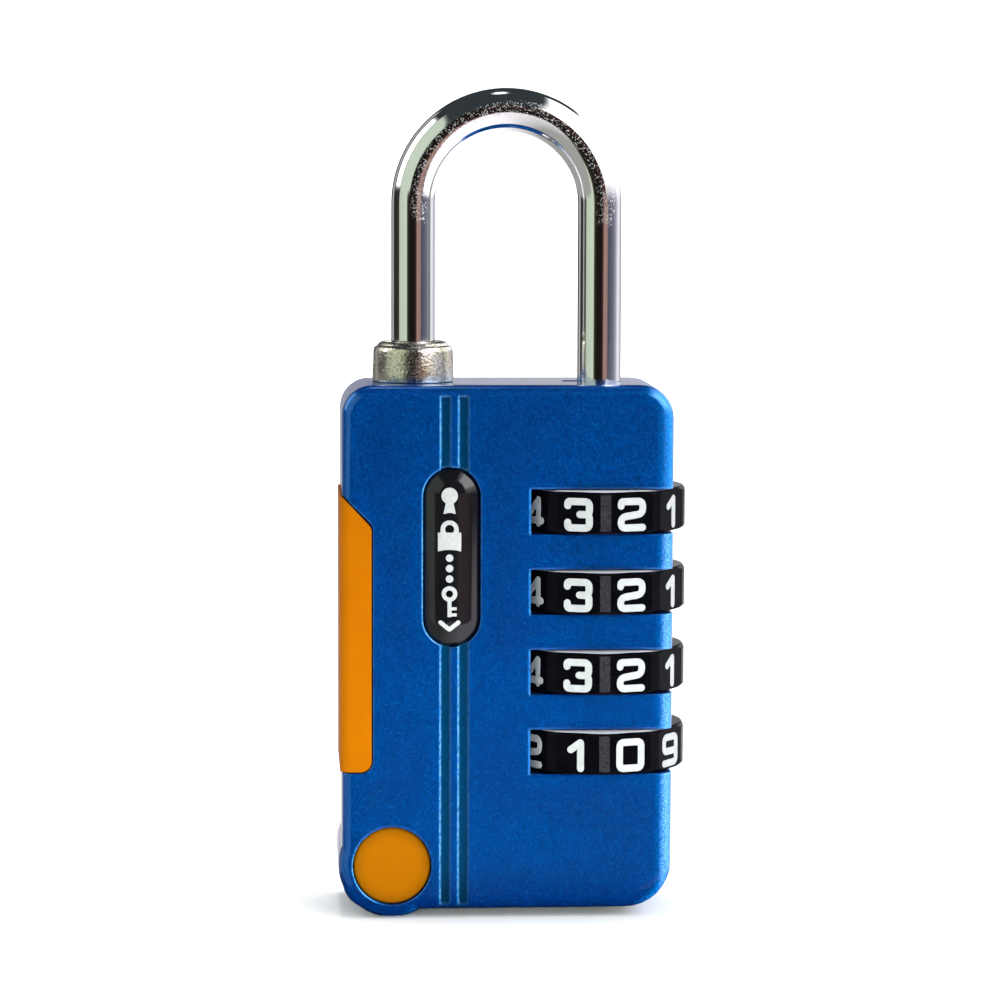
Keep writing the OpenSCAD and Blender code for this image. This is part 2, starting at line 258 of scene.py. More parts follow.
def right_edge_painted_highlight(m, place, facing, tone, mottle):
    """Painted highlights: flakes lighter and bluer where the case turns to the right, and a bright grainy
    line beside the dials.
    """
    not_left = m.grey(facing[0], (-0.01, 0.0), (0.0, 1.0))
    turned = m.grey(facing[0], (0.10, 0.0), (0.50, 1.0))
    band = m.times(across(m, place[0], (HALF_W - 1.7, 0.0), (HALF_W - 0.6, 0.6)), not_left)
    coarse = m.grey(m.noise(4600, 2), (0.34, 0.4), (0.6, 1.0))
    # painted highlight: lighter flakes where the case faces right and on a band by its right edge
    shine = m.times(m.maths("MAXIMUM", turned, band), coarse)
    tone = m.mix(shine, tone, m.times((0.0, 0.24, 0.85), mottle))
    # painted highlight: a bright grainy line down the right edge, strongest beside the dials
    line = across(m, place[0], (HALF_W - 1.2, 0.0), (HALF_W - 0.8, 1.0),
                  (HALF_W - 0.4, 1.0), (HALF_W - 0.15, 0.1))
    fine = m.grey(m.noise(6200, 2), (0.36, 0.1), (0.62, 0.85))
    above = m.maths("SUBTRACT", place[2], at(0, 0, LINE_FADE_Z).z)
    beside_dials = m.grey(m.line(above, 100.0), (0.3, 1.0), (0.7, 0.12))
    return m.mix(m.times(line, not_left, fine, beside_dials), tone, (0.16, 0.42, 0.95))


def painted_edge_highlights(m, place, facing, tone, edge):
    """Painted highlights on sharp edges: lighter blue, most where they face right, less where they face
    down and round the dials.
    """
    compare = m.node("ShaderNodeVectorMath", operation="DOT_PRODUCT")
    m.link(edge, compare.inputs[0])
    m.link(m.node("ShaderNodeNewGeometry").outputs["True Normal"], compare.inputs[1])
    sharp = m.grey(compare.outputs["Value"], (0.80, 1.0), (0.97, 0.0))
    # painted highlight: brighter where the edge faces right, dimmer where it faces down
    right = m.maths("ADD", m.maths("ADD", facing[0], m.maths("MINIMUM", facing[2], 0.0)), 0.5)
    right = m.grey(right, (0.62, 0.12), (1.0, 1.0))
    sheen_grain = m.grey(m.noise(3600, 2), (0.40, 0.15), (0.58, 1.0))
    off_dials = across(m, place[0], (-2.5, 1.0), (-1.0, 0.2), (11.0, 0.2), (13.5, 1.0))
    return m.mix(m.times(sharp, m.times(right, sheen_grain, off_dials)), tone, (0.20, 0.62, 0.88))


def blue_paint():
    """Metallic lacquer with fine flakes, under a clear coat that is a little uneven, with painted shade in
    the grooves and painted highlights on the right side and the sharp edges.
    """
    m = Mat("blue_metallic_paint", Roughness=0.4, IOR=3.1, Specular_Tint=(0.0, 0.36, 1.0, 1.0),
            Coat_Weight=0.8, Coat_Roughness=0.06, Coat_IOR=1.5)
    edge = m.soft_edges(0.3, 8)
    facing = m.split(edge)
    place = m.split(m.coord)
    mottle = m.grey(m.noise(4200, 3, 0.6), (0.34, 0.52), (0.60, 1.0))
    tone = flakes(m, mottle)
    # painted shade on the floor of the grooves
    tone = groove_painted_shade(m, place, facing, tone, mottle)
    # painted highlights along the right side of the case
    tone = right_edge_painted_highlight(m, place, facing, tone, mottle)
    # painted highlights on the sharp edges
    m.color(painted_edge_highlights(m, place, facing, tone, edge))
    m.rough(m.grey(m.noise(4200, 2), (0.3, 0.29), (0.7, 0.40)))
    m.normal(m.bump(m.noise(6500, 2), 0.35, 0.012, edge))
    m.link(m.bump(m.noise(2500, 2), 0.12, 0.010, edge), m.bsdf.inputs["Coat Normal"])
    return m.mat


def chrome():
    """Bright plating, drawn along the bar and pitted in a belt round the bend, most on the right."""
    m = Mat("chrome_plate", Metallic=1.0, Roughness=0.06)
    plate = m.ramp(m.noise(300, 3), (0.3, (0.80, 0.80, 0.80)), (0.7, (0.86, 0.86, 0.86)))
    drawn = m.noise(1.0, 3, 0.6, m.stretch(9000, 9000, 420))
    m.rough(m.grey(drawn, (0.3, 0.03), (0.7, 0.09)))
    # the belt runs near the bar's middle line, a little inside it on the left and outside it on the right
    x, z, far = m.around_y(ARCH_X, ARCH_Z)
    out = m.maths("MULTIPLY", m.maths("SUBTRACT", far, ARCH_R * MM), 0.5 / (BAR_R * MM))
    out = m.maths("SUBTRACT", out, m.maths("MULTIPLY", x, 13.0))
    belt = m.grey(m.maths("ADD", out, 0.5), (0.28, 0.0), (0.40, 1.0), (0.60, 1.0), (0.72, 0.0))
    bend = m.grey(m.line(z, 50.0), (0.39, 0.0), (0.47, 1.0))
    patch = m.maths("ADD", m.noise(420, 2), m.maths("MULTIPLY", x, 12.0))
    patch = m.grey(patch, (0.30, 0.6), (0.50, 1.0))
    pits = m.times(m.grey(m.noise(6400, 2, 0.6), (0.36, 1.0), (0.40, 0.0)), m.times(belt, bend, patch))
    m.color(m.mix(m.maths("MULTIPLY", pits, 0.35), plate, (0.10, 0.08, 0.08)))
    m.normal(m.bump(pits, 0.9, 0.013))
    return m.mat


def cast_zinc():
    """Plated rough casting: dents, a finer grain and dark specks."""
    m = Mat("rough_cast_plate", Metallic=1.0, Roughness=0.3)
    tone = m.ramp(m.noise(700, 4),
                  (0.3, (0.68, 0.63, 0.49)), (0.55, (0.78, 0.74, 0.65)), (0.8, (0.84, 0.80, 0.76)))
    m.color(m.times(tone, m.grey(m.noise(5200, 2, 0.6), (0.36, 0.55), (0.48, 0.92), (0.60, 1.0))))
    m.rough(m.grey(m.noise(2400, 4), (0.3, 0.14), (0.7, 0.28)))
    grain = m.bump(m.noise(5600, 2, 0.6), 0.7, 0.030, m.soft_edges(0.10))
    m.normal(m.bump(m.cells(4200), 0.5, 0.026, grain))
    return m.mat


def dial_black():
    """Black moulding, with a painted reflection, lighter grey on the front-facing strips between the
    digits, and a painted highlight, a pale ring on the top face above the digits.
    """
    m = Mat("dial_black_moulding", Roughness=0.16, Specular_IOR_Level=0.03)
    face = m.ramp(m.noise(900, 4), (0.3, (0.001, 0.001, 0.0015)), (0.75, (0.002, 0.002, 0.0035)))
    facing_x, facing_y, facing_z = m.split(m.node("ShaderNodeTexCoord").outputs["Normal"])
    # the cosine of ten times the angle is 1 on the digit faces and -1 on the strips between them
    ten_fold = m.maths("COSINE", m.maths("MULTIPLY", m.maths("ARCTAN2", facing_y, facing_x), 10.0))
    strip = m.grey(ten_fold, (0.60, 1.0), (0.80, 0.0))
    front = m.grey(m.maths("MULTIPLY", facing_y, -1.0), (0.96, 0.05), (0.985, 1.0))
    sheen_grain = m.times(m.grey(m.noise(4200, 3), (0.35, 0.5), (0.65, 1.0)), front)
    # painted reflection: the front-facing strips between the digits lighter grey
    tone = m.mix(m.times(strip, sheen_grain), face, (0.028, 0.027, 0.034))
    place_x, _, _ = m.split(m.node("ShaderNodeNewGeometry").outputs["Position"])
    # the painted highlight, a pale ring, ends where the dial stands out beyond the case's right side
    inside = m.maths("MULTIPLY", m.maths("SUBTRACT", at(HALF_W + 0.1, 0, 0).x, place_x), 1000.0)
    inside = m.grey(inside, (0.0, 0.0), (0.9, 1.0))
    # painted highlight: the up-facing top face pale
    top = m.times(m.grey(facing_z, (0.72, 0.0), (0.84, 1.0)), inside)
    m.color(m.mix(top, tone, (0.62, 0.63, 0.67)))
    m.rough(m.grey(m.noise(1600, 4), (0.3, 0.12), (0.75, 0.22)))
    m.normal(m.bump(m.noise(3000, 4), 0.15, 0.010, m.soft_edges(0.05)))
    return m.mat


def digit_white():
    m = Mat("digit_white_fill", Roughness=0.45)
    m.color(m.ramp(m.noise(1500, 3), (0.3, (0.355, 0.370, 0.380)), (0.7, (0.415, 0.430, 0.440))))
    m.rough(m.grey(m.noise(2500, 3), (0.3, 0.35), (0.7, 0.55)))
    m.normal(m.bump(m.noise(3500, 3), 0.15, 0.01))
    return m.mat


def brass():
    """Turned brass with fine rings round the axis."""
    m = Mat("sleeve_brass", Metallic=1.0, Roughness=0.3)
    m.color(m.ramp(m.noise(600, 4), (0.3, (0.55, 0.40, 0.18)), (0.7, (0.72, 0.56, 0.29))))
    rings = m.noise(1.0, 3, 0.6, m.stretch(500, 500, 9000))
    m.rough(m.grey(rings, (0.3, 0.22), (0.7, 0.42)))
    m.normal(m.bump(rings, 0.2, 0.01, m.soft_edges(0.06)))
    return m.mat


def spring_steel():
    m = Mat("spring_steel_wire", Metallic=1.0, Roughness=0.3)
    m.color(m.ramp(m.noise(800, 4), (0.3, (0.42, 0.42, 0.44)), (0.7, (0.60, 0.60, 0.62))))
    m.rough(m.grey(m.noise(3000, 3), (0.3, 0.22), (0.7, 0.40)))
    m.normal(m.bump(m.noise(4500, 3), 0.2, 0.01))
    return m.mat


def orange_plastic(name, disc=False):
    """Satin moulding; on the disc, painted shade: a little darker and less red all over, and darker still
    towards the rim.
    """
    m = Mat(name, Roughness=0.38, Specular_IOR_Level=0.03)
    tone = m.ramp(m.noise(240, 3), (0.3, (0.335, 0.094, 0.0)), (0.7, (0.365, 0.106, 0.0)))
    if disc:
        _, _, far = m.around_y(LOBE_X, LOBE_Z)
        rim = m.grey(m.maths("MULTIPLY", far, 250.0), (0.60, 0.0), (0.88, 1.0))
        # painted shade: the disc darker and less red than the strip, darker towards its rim
        tone = m.times(m.mix(rim, tone, (0.24, 0.072, 0.0)), (0.87, 0.97, 1.0))
    m.color(tone)
    m.rough(m.grey(m.noise(1700, 4), (0.3, 0.34), (0.75, 0.48)))
    m.normal(m.bump(m.noise(4200, 3), 0.12, 0.01, m.soft_edges(0.14)))
    return m.mat


def badge_black():
    m = Mat("badge_gloss_black", Roughness=0.04, Specular_IOR_Level=0.5)
    m.color(m.ramp(m.noise(400, 3), (0.3, (0.003, 0.003, 0.004)), (0.7, (0.006, 0.006, 0.008))))
    m.rough(m.grey(m.noise(1200, 3), (0.3, 0.03), (0.8, 0.07)))
    m.normal(m.bump(m.noise(180, 2), 0.03, 0.05))
    return m.mat


def badge_white():
    m = Mat("badge_white_print", Roughness=0.25, Coat_Weight=1.0, Coat_Roughness=0.05, Coat_IOR=1.5)
    m.color(m.ramp(m.noise(1800, 3), (0.3, (0.39, 0.40, 0.41)), (0.7, (0.42, 0.43, 0.44))))
    m.rough(m.grey(m.noise(2600, 3), (0.3, 0.2), (0.7, 0.35)))
    return m.mat


def adhesive():
    m = Mat("adhesive_film", Roughness=0.7)
    m.color(m.ramp(m.noise(1500, 3), (0.3, (0.02, 0.02, 0.02)), (0.7, (0.05, 0.05, 0.05))))
    m.rough(m.grey(m.noise(2500, 3), (0.3, 0.6), (0.7, 0.85)))
    return m.mat


def pale_floor():
    m = Mat("pale_floor", Roughness=0.9)
    m.color(m.ramp(m.noise(3, 2), (0.3, (0.86, 0.86, 0.86)), (0.7, (0.88, 0.88, 0.88))))
    return m.mat


# painted shadow: the colour of the lock's shadow on the floor, for reflections only
def painted_contact_shadow():
    m = Mat("painted_contact_shadow", Roughness=0.9, Specular_IOR_Level=0.0)
    m.color(m.ramp(m.noise(30, 2), (0.3, (0.010, 0.010, 0.011)), (0.7, (0.014, 0.014, 0.015))))
    return m.mat


MATS = {
    "blue_paint": blue_paint(),
    "chrome_steel": chrome(),
    "cast_zinc": cast_zinc(),
    "dial_plastic": dial_black(),
    "sleeve_brass": brass(),
    "spring_steel": spring_steel(),
    "orange_plastic": orange_plastic("orange_moulding"),
    "badge_plastic": badge_black(),
    "adhesive": adhesive(),
}
DISC = orange_plastic("orange_disc", disc=True)
WHITE = digit_white()
PRINT = badge_white()


# ---------------------------------------------------------------- mesh helpers


def new_object(name, bm, mat):
    """Makes an object of the scene from a bmesh in metres."""
    mesh = bpy.data.meshes.new(name)
    bm.to_mesh(mesh)
    bm.free()
    mesh.materials.append(mat)
    ob = bpy.data.objects.new(name, mesh)
    bpy.context.scene.collection.objects.link(ob)
    return ob


def piece(name, bm, mat, body, stands_for=(), smooth=None):
    """Makes a piece that rides on a body, smooth up to an angle in degrees."""
    bmesh.ops.recalc_face_normals(bm, faces=bm.faces)
    ob = new_object(name, bm, mat)
    if smooth is not None:
        ob.data.set_sharp_from_angle(angle=math.radians(smooth))
        ob.data.polygons.foreach_set("use_smooth", [True] * len(ob.data.polygons))
    if stands_for:
        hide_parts(*stands_for)
    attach(ob, body)


def wheel(radius, steps):
    """Points all round a circle about the origin."""
    turns = [2 * math.pi * k / steps for k in range(steps)]
    return [Vector((radius * math.cos(a), radius * math.sin(a))) for a in turns]


def ring_rows(bm, rows, closed):
    """Joins rows of points of equal length into a tube that closes on itself or has a cap at each end."""
    made = [[bm.verts.new(p) for p in row] for row in rows]
    n = len(made[0])
    pairs = list(zip(made, made[1:])) + ([(made[-1], made[0])] if closed else [])
    for a, b in pairs:
        for i in range(n):
            j = (i + 1) % n
            bm.faces.new((a[i], a[j], b[j], b[i]))
    if not closed:
        bm.faces.new(made[0])
        bm.faces.new(made[-1])


def lathe(bm, profile, place, steps):
    """Turns a closed profile of (radius, height) points in mm about Z, then places it."""
    rows = []
    for k in range(steps):
        a = 2 * math.pi * k / steps
        rows.append([at(*place) + Vector((r * math.cos(a), r * math.sin(a), h)) * MM for r, h in profile])
    ring_rows(bm, rows, closed=True)


def solid_lathe(bm, profile, place, turn, steps):
    """As lathe, for a profile that starts and ends on the axis, turned to another axis first."""
    base = at(*place)

    def vert(x, y, h):
        return bm.verts.new(base + turn @ Vector((x, y, h)) * MM)

    first, last = vert(0, 0, profile[0][1]), vert(0, 0, profile[-1][1])
    rows = [[vert(p.x, p.y, h) for p in wheel(r, steps)] for r, h in profile[1:-1]]
    for k in range(steps):
        j = (k + 1) % steps
        bm.faces.new((first, rows[0][j], rows[0][k]))
        bm.faces.new((last, rows[-1][k], rows[-1][j]))
        for a, b in zip(rows, rows[1:]):
            bm.faces.new((a[k], a[j], b[j], b[k]))


def rounded(points, r, steps=5):
    """Rounds the corners of an open or closed line of points (closed if first equals last)."""
    closed = points[0] == points[-1]
    pts = [Vector(p) for p in (points[:-1] if closed else points)]
    out = []
    n = len(pts)
    for i, p in enumerate(pts):
        if not closed and i in (0, n - 1):
            out.append(p)
            continue
        to_a, to_b = pts[i - 1] - p, pts[(i + 1) % n] - p
        cut = min(r, to_a.length * 0.499, to_b.length * 0.499)
        start, end = p + to_a.normalized() * cut, p + to_b.normalized() * cut
        for k in range(steps + 1):
            t = k / steps
            out.append(start * (1 - t) ** 2 + p * 2 * t * (1 - t) + end * t * t)
    if closed:
        out.append(out[0].copy())
    return out


def capsule(a, b, r, steps=6):
    """Outline of one straight stroke with round ends."""
    along = (b - a).normalized()
    heading = math.atan2(along.y, along.x)
    out = []
    for centre, start in ((b, heading - math.pi / 2), (a, heading + math.pi / 2)):
        for k in range(steps + 1):
            w = start + math.pi * k / steps
            out.append(centre + Vector((math.cos(w), math.sin(w))) * r)
    return out


def strokes(lines, r, corner):
    """Capsules along each line of a glyph, with its corners rounded."""
    out = []
    for line in lines:
        pts = rounded(line, corner)
        out += [capsule(a, b, r) for a, b in zip(pts, pts[1:]) if (b - a).length > 1e-6]
    return out


def union(outlines, grid=None):
    """Points and triangles that cover all outlines once. grid adds inner points that far apart."""
    verts, faces = [], []
    for outline in outlines:
        faces.append(list(range(len(verts), len(verts) + len(outline))))
        verts += [Vector((p.x, p.y)) for p in outline]
    if grid:
        lo = Vector((min(p.x for p in verts), min(p.y for p in verts)))
        hi = Vector((max(p.x for p in verts), max(p.y for p in verts)))
        for i in range(1, int((hi.x - lo.x) / grid)):
            for j in range(1, int((hi.y - lo.y) / grid)):
                verts.append(lo + Vector((i, j)) * grid)
    inside_only, nearest = 1, 1e-6
    pts, _, tris, _, _, owners = delaunay_2d_cdt(verts, [], faces, inside_only, nearest)
    return pts, [t for t, owner in zip(tris, owners) if owner]


def plate(bm, outlines, place, low, high, grid=None):
    """Extrudes the union of flat outlines. place(u, v, h) gives the point in the frame."""
    pts, tris = union(outlines, grid)
    used = sorted({i for t in tris for i in t})
    bottom = {i: bm.verts.new(place(pts[i].x, pts[i].y, low)) for i in used}
    top = {i: bm.verts.new(place(pts[i].x, pts[i].y, high)) for i in used}
    edges = {}
    for t in tris:
        bm.faces.new([top[i] for i in t])
        bm.faces.new([bottom[i] for i in reversed(t)])
        for i, j in zip(t, list(t[1:]) + [t[0]]):
            edges.setdefault((min(i, j), max(i, j)), []).append((i, j))
    for found in edges.values():
        if len(found) == 1:
            i, j = found[0]
            bm.faces.new((bottom[i], bottom[j], top[j], top[i]))


# ---------------------------------------------------------------- shackle


def bar_rows():
    """Centre, direction and radius along the shackle bar, from the short leg's end to the long leg's."""
    up, down = Vector((0, 0, 1)), Vector((0, 0, -1))
    rows = []
    for rise, inset in ((0.0, 0.4), (0.12, 0.2), (0.4, 0.0)):
        rows.append((Vector((TOE_X, 0, TOE_END_Z + rise)), up, BAR_R - inset))
    for z in (52.0, 56.0, 60.0):
        rows.append((Vector((TOE_X, 0, z)), up, BAR_R))
    for k in range(65):
        a = math.pi * (1 - k / 64)
        centre = Vector((ARCH_X + ARCH_R * math.cos(a), 0, ARCH_Z + ARCH_R * math.sin(a)))
        rows.append((centre, Vector((math.sin(a), 0, -math.cos(a))), BAR_R))
    for z in (60.0, 54.0, 48.0, 36.0, 24.0, 12.0, 7.6):
        rows.append((Vector((DIAL_X, 0, z)), down, BAR_R))
    # the neck for the retaining clip, with broken edges, and the bevelled end
    neck = ((7.52, 2.0), (7.5, 1.98), (7.5, 1.5), (6.8, 1.5), (6.8, 1.98), (6.78, 2.0))
    for z, r in neck + ((6.45, 2.0), (HEEL_END_Z, 1.8)):
        rows.append((Vector((DIAL_X, 0, z)), down, r))
    return rows


def fin_outline():
    """A fin of the long leg from above: flat sides and a round outer end, rooted inside the bar."""
    half_angle = math.asin(FIN_HALF_W / FIN_R)
    turns = [half_angle * (k / 4 - 1) for k in range(9)]
    outer = [Vector((DIAL_X - FIN_R * math.cos(a), -FIN_R * math.sin(a))) for a in turns]
    root_x = DIAL_X - FIN_ROOT
    return outer + [Vector((root_x, -FIN_HALF_W)), Vector((root_x, FIN_HALF_W))]


def shackle():
    bm = bmesh.new()
    depth = Vector((0, 1, 0))
    circle = wheel(1.0, 64)
    rows = []
    for centre, direction, r in bar_rows():
        side = depth.cross(direction).normalized()
        rows.append([at(*(centre + (side * p.x + depth * p.y) * r)) for p in circle])
    ring_rows(bm, rows, closed=False)
    for i in range(len(DIALS)):
        low = DIAL_TOP_Z - DIAL_PITCH * i - FIN_DROP
        plate(bm, [fin_outline()], at, low, low + FIN_H)
    piece("shackle_bar", bm, MATS["chrome_steel"], SHACKLE, ("shackle",), 40)


# ---------------------------------------------------------------- collar and corner disc


def collar():
    """The cast collar: its spigot in the case, a slightly tapered wall, a rolled rim and a sunk top."""
    bm = bmesh.new()
    spigot = [(2.1, -2.0), (2.87, -2.0), (2.87, 0.0)]
    wall = [(3.55, 0.0), (3.68, 0.05), (3.71, 0.2), (3.70, 1.0), (3.66, 2.0), (3.63, 2.75)]
    shoulder = [(3.60, 3.0), (3.52, 3.16), (3.40, 3.25), (3.28, 3.30)]
    rim = [(3.22, 3.38), (3.14, 3.50), (3.00, 3.61), (2.85, 3.67), (2.74, 3.68), (2.66, 3.62), (2.60, 3.50)]
    top = [(2.52, 3.42), (2.40, 3.40), (2.22, 3.38), (2.12, 3.30), (2.1, 3.15)]
    lathe(bm, spigot + wall + shoulder + rim + top, (TOE_X, 0, BODY_H), 144)
    # the casting is a little uneven
    axis = at(TOE_X, 0, 0)
    for v in bm.verts:
        out = Vector((v.co.x - axis.x, v.co.y - axis.y, 0))
        if out.length > 3.0 * MM and v.co.z > (BODY_H + 0.8) * MM:
            a = math.atan2(out.y, out.x)
            z = v.co.z / MM
            wave = math.sin(5 * a + 1.3) + math.sin(9 * a + 1.9 * z) + math.sin(14 * a - 2.3 * z + 0.7)
            v.co += out.normalized() * wave * 0.010 * MM
    piece("cast_collar", bm, MATS["cast_zinc"], CASE, ("toe_collar",), 50)


def corner_disc():
    """The orange disc, slightly dished, with a rounded rim and its stem behind."""
    bm = bmesh.new()
    top = HALF_T - CAP_SUNK
    dish_r, dish = 3.2, 0.05
    profile = [(0, top - 0.06)]
    for k in range(1, 9):
        r = dish_r * k / 8
        profile.append((r, top - 0.06 + dish * (r / dish_r) ** 2))
    profile += [(3.36, top - 0.03), (3.46, top - 0.12), (CAP_R, top - 0.26), (CAP_R, top - CAP_T)]
    profile += [(STEM_R + 0.05, top - CAP_T), (STEM_R, top - CAP_T - 0.1), (STEM_R, -0.8)]
    profile += [(STEM_R - 0.2, -1.0), (0, -1.0)]
    solid_lathe(bm, profile, (LOBE_X, 0, LOBE_Z), Matrix.Rotation(math.pi / 2, 3, "X"), 128)
    piece("corner_disc", bm, DISC, CASE, ("corner_cap",), 40)


# ---------------------------------------------------------------- badge


def stadium_ring(w, h, steps=20):
    """Points round an upright stadium of width w and height h, about its middle."""
    r = w / 2
    pts = []
    for side, start in ((1, 0.0), (-1, math.pi)):
        for k in range(steps + 1):
            a = start + math.pi * k / steps
            pts.append(Vector((r * math.cos(a), side * (h - w) / 2 + r * math.sin(a))))
    return pts


def badge_height(u):
    """Height of the badge's dome above the front face at a distance u from its middle line, in mm."""
    edge = max(0.0, 1 - (BADGE_HALF - u) / 0.25)
    return BADGE_TOP - (DOME_R - math.sqrt(DOME_R ** 2 - u * u)) - 0.2 * edge ** 2


def badge_depth(u, v):
    """The same height at a point of the face, measured from the badge's middle."""
    along = max(0.0, abs(v) - (BADGE_H - BADGE_W) / 2)
    return badge_height(math.hypot(u, along))


def badge():
    bm = bmesh.new()

    def row(inset, h):
        w = 2 * (BADGE_HALF - inset)
        outline = stadium_ring(w, BADGE_H - BADGE_W + w)
        return [at(BADGE_X + p.x, -HALF_T - h, BADGE_Z + p.y) for p in outline]

    rows = [row(0.0, BADGE_BACK), row(0.0, badge_height(BADGE_HALF))]
    for inset in (0.03, 0.07, 0.12, 0.18, 0.25, 0.35, 0.5, 0.7, 0.9, 1.1, 1.35, 1.6, 1.85, 2.1, 2.3, 2.5):
        rows.append(row(inset, badge_height(BADGE_HALF - inset)))
    ring_rows(bm, rows, closed=False)
    piece("badge_dome", bm, MATS["badge_plastic"], CASE, ("badge",), 60)


def badge_marks():
    """Generic signs in white, one below the other: keyhole, padlock, dots, key and arrow head."""
    bm = bmesh.new()
    off = -0.22

    def place(u, v, d):
        return at(BADGE_X + off + u, -HALF_T - badge_depth(off + u, v) - d, BADGE_Z + v)

    def disc(u, v, r):
        return [Vector((u + p.x, v + p.y)) for p in wheel(r, 28)]

    def box(u, v, w, h):
        return [Vector((u + a * w / 2, v + b * h / 2)) for a, b in ((-1, -1), (1, -1), (1, 1), (-1, 1))]

    def loop(u, v, r):
        return [(u + r * math.cos(math.pi * k / 8), v + r * math.sin(math.pi * k / 8)) for k in range(17)]

    def sign(*shapes):
        plate(bm, shapes, place, PRINT_LOW, PRINT_HIGH, 0.16)

    skirt = [Vector(p) for p in ((-0.55, 4.0), (0.55, 4.0), (0.24, 5.5), (-0.24, 5.5))]
    sign(disc(0, 5.62, 0.74), skirt)
    legs = [[(-0.62, 2.2), (-0.62, 2.6)], [(0.62, 2.2), (0.62, 2.6)]]
    sign(*strokes(legs, 0.2, 0.1), *strokes([loop(0, 2.6, 0.62)], 0.2, 0.1), box(0, 1.45, 2.1, 1.7))
    for v in (0.0, -0.95, -1.9):
        sign(disc(0, v, 0.34))
    sign(*strokes([loop(0, -3.25, 0.52)], 0.19, 0.05),
         box(0, -4.5, 0.36, 1.7), box(0.4, -4.6, 0.5, 0.28), box(0.4, -5.15, 0.5, 0.28))
    sign(*strokes([[(-0.8, -5.85), (0, -6.5), (0.8, -5.85)]], 0.2, 0.05))
    piece("badge_marks", bm, PRINT, CASE)


# ---------------------------------------------------------------- digits

# Each digit is one or two lines of points, in mm from its middle. W is half the width of a digit, W3 half
# that of the narrower 3, and H half the height.
W, W3, H = 1.06, 1.0, 1.19
GLYPHS = {
    0: [[(-W, -H), (W, -H), (W, H), (-W, H), (-W, -H)]],
    1: [[(-0.62, 0.50), (0.30, H), (0.30, -H)]],
    2: [[(-W, 0.80), (-W, H), (W, H), (W, 0.06), (-W, -0.22), (-W, -H), (W, -H)]],
    3: [[(-W3, 0.80), (-W3, H), (W3, H), (W3, 0.03), (0.12, 0.03)],
        [(0.2, 0.03), (W3, 0.03), (W3, -H), (-W3, -H), (-W3, -0.70)]],
    4: [[(1.2, -0.72), (-W, -0.72), (0.76, H), (0.76, -0.98)]],
    5: [[(W, H), (-W, H), (-W, 0.16), (W, 0.16), (W, -H), (-W, -H)]],
    6: [[(W, H), (-W, H), (-W, -H), (W, -H), (W, 0.10), (-W, 0.10)]],
    7: [[(-W, H), (W, H), (-0.15, -H)]],
    8: [[(-W, -H), (W, -H), (W, 0.02), (-W, 0.02), (-W, -H)],
        [(-W, H), (W, H), (W, 0.02), (-W, 0.02), (-W, H)]],
    9: [[(-W, -H), (W, -H), (W, H), (-W, H), (-W, -0.10), (W, -0.10)]],
}
# how far each digit's corners are cut back to be rounded, in mm
CORNER = {0: 0.42, 1: 0.05, 2: 0.5, 3: 0.42, 4: 0.05, 5: 0.42, 6: 0.46, 7: 0.05, 8: 0.42, 9: 0.46}


def digits(dial):
    """The ten digits of one dial, counting down to the right; the lowest dial is eight further on."""
    bm = bmesh.new()
    z = DIAL_TOP_Z - DIAL_PITCH * (dial - 1)
    shift = 8 if dial == DIALS[-1] else 0
    for k in range(10):
        turn = 18 + 36 * k
        value = (round((90 - turn) / 36) + shift) % 10
        theta = math.radians(turn)
        out = Vector((math.sin(theta), -math.cos(theta), 0))
        right = Vector((math.cos(theta), math.sin(theta), 0))

        def place(u, v, d):
            spot = Vector((DIAL_X, 0, z)) + out * (DIAL_FACE_R + d) + right * u
            return at(*(spot + Vector((0, 0, v - DIGIT_DROP))))

        plate(bm, strokes(GLYPHS[value], STROKE_R, CORNER[value]), place, PRINT_LOW, PRINT_HIGH)
    piece("dial_%d_digits" % dial, bm, WHITE, "dial_unit_%d" % dial)


# ---------------------------------------------------------------- carried-over CAD nodes


def give_materials():
    """Each CAD node takes the material of its slot in the record."""
    slots = {s["node"]: s["material_slot"] for s in frame["record"]["subparts"]}
    for name, ob in frame["nodes"].items():
        mat = MATS[slots[name]]
        if not ob.material_slots:
            ob.data.materials.append(mat)
        for s in ob.material_slots:
            s.material = mat


def refine(name, bevel_mm=0.0, angle=30):
    """Welds the split corners of a CAD node, rounds its sharp edges a little and evens its shading."""
    ob = frame["nodes"][name]
    weld = ob.modifiers.new("weld", "WELD")
    weld.merge_threshold = 0.0005 * MM
    if bevel_mm:
        bevel = ob.modifiers.new("edges", "BEVEL")
        bevel.width = bevel_mm * MM
        bevel.segments = 2
        bevel.limit_method = "ANGLE"
        bevel.angle_limit = math.radians(angle)
        bevel.use_clamp_overlap = True
        bevel.harden_normals = False
    split = ob.modifiers.new("split", "EDGE_SPLIT")
    split.split_angle = math.radians(32)
    split.use_edge_sharp = False
    shade = ob.modifiers.new("shade", "WEIGHTED_NORMAL")
    shade.weight = 80
    shade.keep_sharp = False


# ---------------------------------------------------------------- studio

# The surroundings as the polished bar shows them. Directions are given by two angles in degrees:
# "turn", how far round from the camera's side, and "clock", 0 to the right, 90 up, 180 to the left.
DARK = (0.012, 0.010, 0.009)
GREEN = (0.66, 0.76, 0.62)
ROOF = (0.036, 0.045, 0.052)
